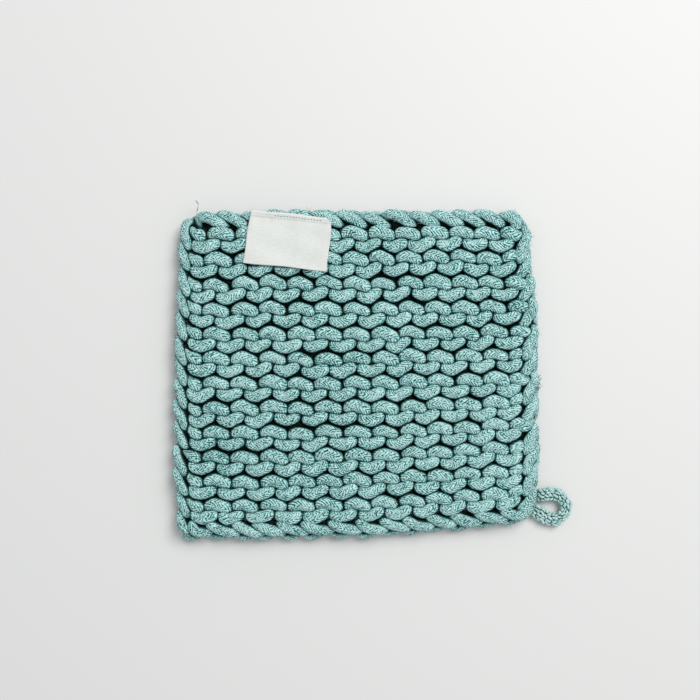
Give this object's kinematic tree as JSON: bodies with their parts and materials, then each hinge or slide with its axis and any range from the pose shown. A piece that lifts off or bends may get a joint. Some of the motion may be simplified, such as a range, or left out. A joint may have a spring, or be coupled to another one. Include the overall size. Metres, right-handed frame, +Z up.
{
  "type": "pot holder",
  "caption": "Square pot holder knitted in garter stitch from thick cotton cord, with a chained edge, a hanging loop at one corner and a blank label.",
  "frame": {"origin": "under the middle of the whole holder, loop included, on the surface that it lies on", "axes": "+Z up out of the face, +Y towards the side with the label, +X towards the side with the hanging loop"},
  "size_m": [0.2189, 0.1821, 0.0155],
  "materials": {
    "cotton_cord": "soft knitted cotton tube cord in dusty aqua, matt, a little fuzzy",
    "loop_yarn": "crocheted cotton yarn in the same dusty aqua",
    "label_tape": "cream cotton tape in a fine plain weave, blank"
  },
  "bodies": {
    "root": {"knitted_square": "cotton_cord", "hanging_loop": "loop_yarn", "label": "label_tape"}
  },
  "joints": []
}
